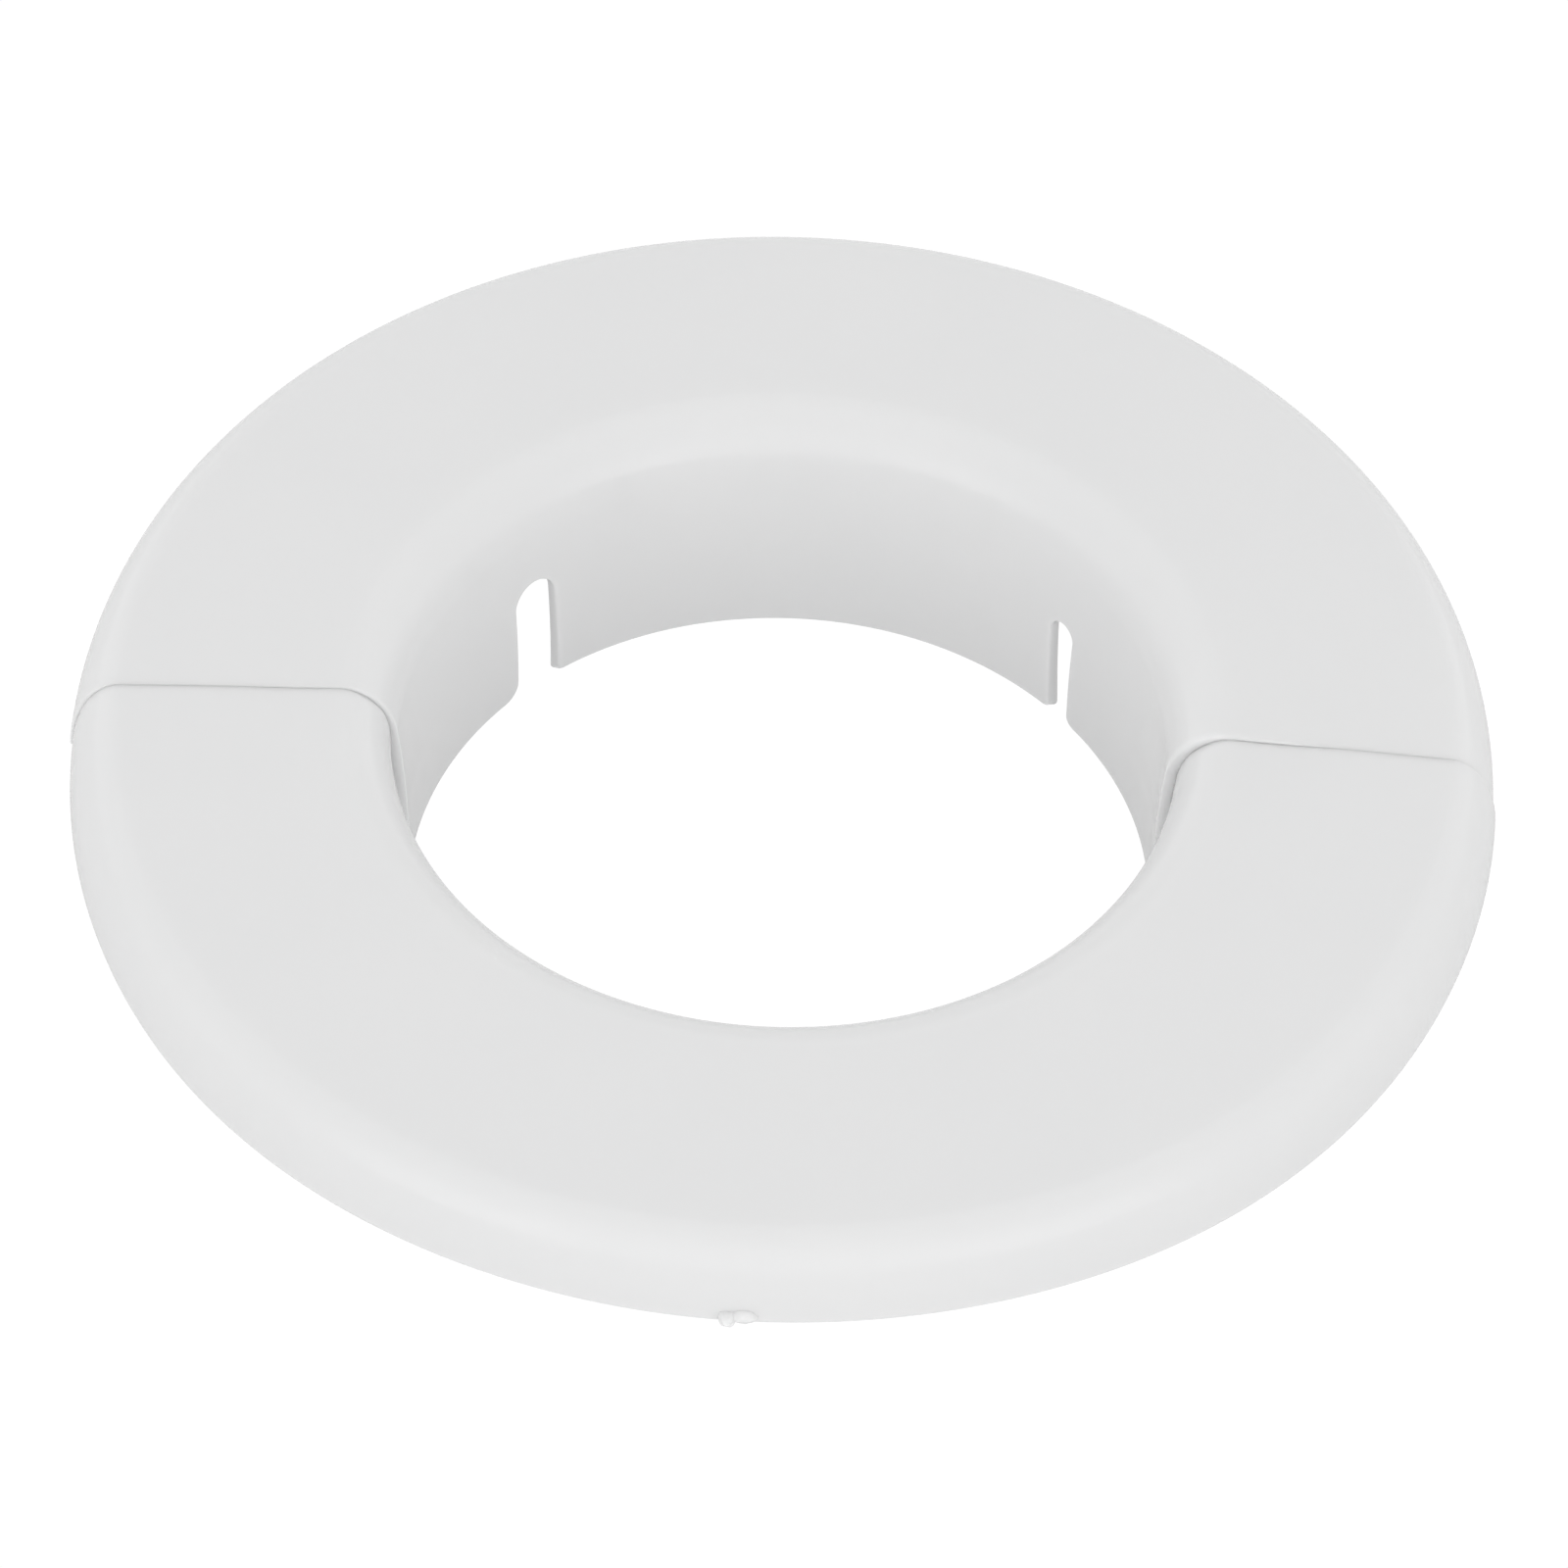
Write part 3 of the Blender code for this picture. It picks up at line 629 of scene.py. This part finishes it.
def floor():
    """An even white lit table, which the camera sees as plain white."""
    bm = bmesh.new()
    bmesh.ops.create_grid(bm, x_segments=2, y_segments=2, size=6.0)
    mesh = bpy.data.meshes.new("floor")
    bm.to_mesh(mesh)
    bm.free()
    obj = bpy.data.objects.new("floor", mesh)
    obj.location = (0, 0, -0.0002)
    bpy.context.scene.collection.objects.link(obj)
    material = bpy.data.materials.new("pale_floor")
    material.use_nodes = True
    nodes, links = material.node_tree.nodes, material.node_tree.links
    shader = nodes["Principled BSDF"]
    shader.inputs["Roughness"].default_value = 0.5
    shader.inputs["Base Color"].default_value = (FLOOR_ALBEDO, FLOOR_ALBEDO, FLOOR_ALBEDO, 1.0)
    shader.inputs["Emission Color"].default_value = (1.0, 1.0, 1.0, 1.0)
    shader.inputs["Emission Strength"].default_value = FLOOR_GLOW
    glow = nodes.new("ShaderNodeEmission")
    glow.inputs["Color"].default_value = (1.0, 1.0, 1.0, 1.0)
    glow.inputs["Strength"].default_value = 1.02
    path = nodes.new("ShaderNodeLightPath")
    mix = nodes.new("ShaderNodeMixShader")
    links.new(path.outputs["Is Camera Ray"], mix.inputs[0])
    links.new(shader.outputs[0], mix.inputs[1])
    links.new(glow.outputs[0], mix.inputs[2])
    links.new(mix.outputs[0], nodes["Material Output"].inputs["Surface"])
    mesh.materials.append(material)


def world():
    """A light tent: an even dome with soft boxes and soft flags on it, all without hard edges."""
    w = bpy.data.worlds.new("studio")
    bpy.context.scene.world = w
    w.use_nodes = True
    nodes, links = w.node_tree.nodes, w.node_tree.links

    def put(socket, value):
        if isinstance(value, bpy.types.NodeSocket):
            links.new(value, socket)
        else:
            socket.default_value = value

    def calc(operation, *values):
        node = nodes.new("ShaderNodeMath")
        node.operation = operation
        for socket, value in zip(node.inputs, values):
            put(socket, value)
        return node.outputs[0]

    def ramp(value, x0, x1, y0, y1, kind="SMOOTHSTEP"):
        node = nodes.new("ShaderNodeMapRange")
        node.interpolation_type = kind
        for key, v in (("Value", value), ("From Min", x0), ("From Max", x1), ("To Min", y0), ("To Max", y1)):
            put(node.inputs[key], v)
        return node.outputs["Result"]

    where = nodes.new("ShaderNodeTexCoord")
    split = nodes.new("ShaderNodeSeparateXYZ")
    links.new(where.outputs["Generated"], split.inputs[0])
    x, y, z = split.outputs
    azimuth = calc("MULTIPLY", calc("ARCTAN2", x, calc("MULTIPLY", y, -1.0)), 180 / math.pi)
    elevation = calc("MULTIPLY", calc("ARCSINE", calc("MINIMUM", calc("MAXIMUM", z, -1.0), 1.0)), 180 / math.pi)
    total = ramp(elevation, *DOME)
    for centre, half_width, soft, rise, fall, strength in PANELS:
        apart = calc("ABSOLUTE", calc("SUBTRACT", azimuth, centre))
        apart = calc("MINIMUM", apart, calc("SUBTRACT", 360.0, apart))
        across = ramp(apart, half_width - soft, half_width + soft, strength, 0.0)
        along = calc("MULTIPLY", ramp(elevation, *rise, 0.0, 1.0), ramp(elevation, *fall, 1.0, 0.0))
        total = calc("ADD", total, calc("MULTIPLY", across, along))
    ground = nodes["Background"]
    ground.inputs["Color"].default_value = (1.0, 1.0, 1.0, 1.0)
    links.new(total, ground.inputs["Strength"])
    seen = nodes.new("ShaderNodeBackground")
    seen.inputs["Color"].default_value = (1.0, 1.0, 1.0, 1.0)
    seen.inputs["Strength"].default_value = 1.02
    path = nodes.new("ShaderNodeLightPath")
    mix = nodes.new("ShaderNodeMixShader")
    links.new(path.outputs["Is Camera Ray"], mix.inputs[0])
    links.new(ground.outputs[0], mix.inputs[1])
    links.new(seen.outputs[0], mix.inputs[2])
    links.new(mix.outputs[0], nodes["World Output"].inputs["Surface"])


def camera():
    elevation, yaw, roll = 0.821161, 0.039332, -0.027583
    distance, across, down, pixels = 1.5, 0.583, 72.989, 18274.3
    target = Vector((0, 0, (CREST_Z + END_BEVEL) * MM))
    back = Vector((math.cos(elevation) * math.sin(yaw), -math.cos(elevation) * math.cos(yaw), math.sin(elevation)))
    right = Vector((math.cos(yaw), math.sin(yaw), 0))
    up = back.cross(right)
    right, up = math.cos(roll) * right - math.sin(roll) * up, math.sin(roll) * right + math.cos(roll) * up
    ahead = (-back - up * down / pixels - right * across / pixels).normalized()
    right = (right - ahead * right.dot(ahead)).normalized()
    up = right.cross(ahead)
    cam = bpy.data.cameras.new("camera")
    cam.sensor_width = 36.0
    cam.lens = pixels / 1600 * 36.0
    cam.clip_start, cam.clip_end = 0.05, 50.0
    obj = bpy.data.objects.new("camera", cam)
    axes = Matrix((right, up, -ahead)).transposed()
    obj.matrix_world = Matrix.Translation(target + back * distance) @ axes.to_4x4()
    bpy.context.scene.collection.objects.link(obj)
    bpy.context.scene.camera = obj


floor()
world()
camera()
scene = bpy.context.scene
scene.view_settings.view_transform = "Standard"
scene.view_settings.look = "None"
scene.cycles.max_bounces = 14
scene.cycles.diffuse_bounces = 10
